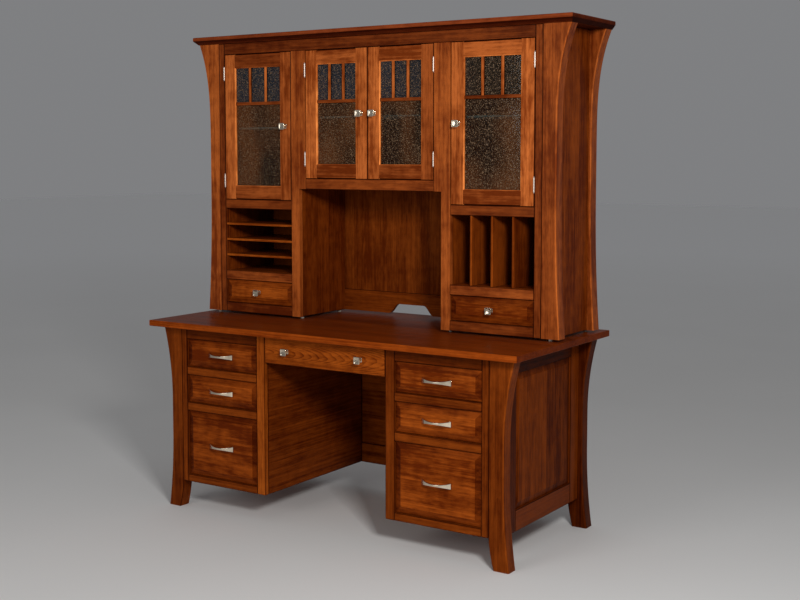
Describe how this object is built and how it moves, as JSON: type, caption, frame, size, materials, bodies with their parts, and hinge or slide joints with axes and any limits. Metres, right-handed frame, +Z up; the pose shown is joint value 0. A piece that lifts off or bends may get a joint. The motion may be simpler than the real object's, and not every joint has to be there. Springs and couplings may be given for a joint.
{
  "type": "desk with hutch",
  "caption": "Cherry-stained wooden writing desk with drawer pedestals round a kneehole, and a hutch of glazed cupboards, letter slots and small drawers standing on it.",
  "frame": {"origin": "on the floor, below the middle of the desk top", "axes": "+Z up; -Y towards the person at the desk; +X to that person's right"},
  "size_m": [1.752, 0.75, 1.917],
  "materials": {
    "cherry": "satin",
    "cherry_door": "satin",
    "cherry_dark": "satin",
    "maple": "satin",
    "nickel": "brushed",
    "seeded_glass": "seeded",
    "clear_glass": "polished",
    "pad": "matte"
  },
  "bodies": {
    "carcass": {"desk_top": "cherry", "leg_front_left": "cherry", "leg_front_right": "cherry", "leg_back_left": "cherry", "leg_back_right": "cherry", "left_face_frame": "cherry", "left_pedestal_case": "cherry", "right_face_frame": "cherry", "right_pedestal_case": "cherry", "modesty_panel": "cherry_dark", "hutch_crown": "cherry", "hutch_post_front_left": "cherry", "hutch_post_front_right": "cherry", "hutch_post_back_left": "cherry", "hutch_post_back_right": "cherry", "hutch_face_frame": "cherry", "hutch_case": "cherry", "hutch_back_panel": "cherry_dark", "left_glass_shelf": "clear_glass", "centre_glass_shelf": "clear_glass", "right_glass_shelf": "clear_glass", "left_door_hinge_upper": "nickel", "left_door_hinge_lower": "nickel", "centre_left_door_hinge_upper": "nickel", "centre_left_door_hinge_lower": "nickel", "centre_right_door_hinge_upper": "nickel", "centre_right_door_hinge_lower": "nickel", "right_door_hinge_upper": "nickel", "right_door_hinge_lower": "nickel"},
    "left_top_drawer_unit": {"left_top_drawer": "cherry", "left_top_drawer_pull": "nickel"},
    "left_middle_drawer_unit": {"left_middle_drawer": "cherry", "left_middle_drawer_pull": "nickel"},
    "left_file_drawer_unit": {"left_file_drawer": "cherry", "left_file_drawer_pull": "nickel"},
    "right_top_drawer_unit": {"right_top_drawer": "cherry", "right_top_drawer_pull": "nickel"},
    "right_middle_drawer_unit": {"right_middle_drawer": "cherry", "right_middle_drawer_pull": "nickel"},
    "right_file_drawer_unit": {"right_file_drawer": "cherry", "right_file_drawer_pull": "nickel"},
    "pencil_drawer_unit": {"pencil_drawer": "cherry", "pencil_drawer_knob_left": "nickel", "pencil_drawer_knob_right": "nickel"},
    "left_hutch_drawer_unit": {"left_hutch_drawer": "cherry", "left_hutch_drawer_knob": "nickel"},
    "right_hutch_drawer_unit": {"right_hutch_drawer": "cherry", "right_hutch_drawer_knob": "nickel"},
    "left_door_unit": {"left_door": "cherry_door", "left_door_glass": "seeded_glass", "left_door_knob": "nickel"},
    "centre_left_door_unit": {"centre_left_door": "cherry_door", "centre_left_door_glass": "seeded_glass", "centre_left_door_knob": "nickel"},
    "centre_right_door_unit": {"centre_right_door": "cherry_door", "centre_right_door_glass": "seeded_glass", "centre_right_door_knob": "nickel"},
    "right_door_unit": {"right_door": "cherry_door", "right_door_glass": "seeded_glass", "right_door_knob": "nickel"}
  },
  "joints": [
    {"name": "left_top_drawer_slide", "type": "slide", "parent": "carcass", "child": "left_top_drawer_unit", "axis": [0, -1, 0], "range_m": [0, 0.42]},
    {"name": "left_middle_drawer_slide", "type": "slide", "parent": "carcass", "child": "left_middle_drawer_unit", "axis": [0, -1, 0], "range_m": [0, 0.42]},
    {"name": "left_file_drawer_slide", "type": "slide", "parent": "carcass", "child": "left_file_drawer_unit", "axis": [0, -1, 0], "range_m": [0, 0.42]},
    {"name": "right_top_drawer_slide", "type": "slide", "parent": "carcass", "child": "right_top_drawer_unit", "axis": [0, -1, 0], "range_m": [0, 0.42]},
    {"name": "right_middle_drawer_slide", "type": "slide", "parent": "carcass", "child": "right_middle_drawer_unit", "axis": [0, -1, 0], "range_m": [0, 0.42]},
    {"name": "right_file_drawer_slide", "type": "slide", "parent": "carcass", "child": "right_file_drawer_unit", "axis": [0, -1, 0], "range_m": [0, 0.42]},
    {"name": "pencil_drawer_slide", "type": "slide", "parent": "carcass", "child": "pencil_drawer_unit", "axis": [0, -1, 0], "range_m": [0, 0.28]},
    {"name": "left_hutch_drawer_slide", "type": "slide", "parent": "carcass", "child": "left_hutch_drawer_unit", "axis": [0, -1, 0], "range_m": [0, 0.17]},
    {"name": "right_hutch_drawer_slide", "type": "slide", "parent": "carcass", "child": "right_hutch_drawer_unit", "axis": [0, -1, 0], "range_m": [0, 0.17]},
    {"name": "left_door_swing", "type": "hinge", "parent": "carcass", "child": "left_door_unit", "pos_m": [-0.722, -0.0355, 1.542], "axis": [0, 0, -1], "range_deg": [0, 110]},
    {"name": "centre_left_door_swing", "type": "hinge", "parent": "carcass", "child": "centre_left_door_unit", "pos_m": [-0.301, -0.0355, 1.587], "axis": [0, 0, -1], "range_deg": [0, 110]},
    {"name": "centre_right_door_swing", "type": "hinge", "parent": "carcass", "child": "centre_right_door_unit", "pos_m": [0.301, -0.0355, 1.587], "axis": [0, 0, 1], "range_deg": [0, 110]},
    {"name": "right_door_swing", "type": "hinge", "parent": "carcass", "child": "right_door_unit", "pos_m": [0.722, -0.0355, 1.542], "axis": [0, 0, 1], "range_deg": [0, 110]}
  ]
}
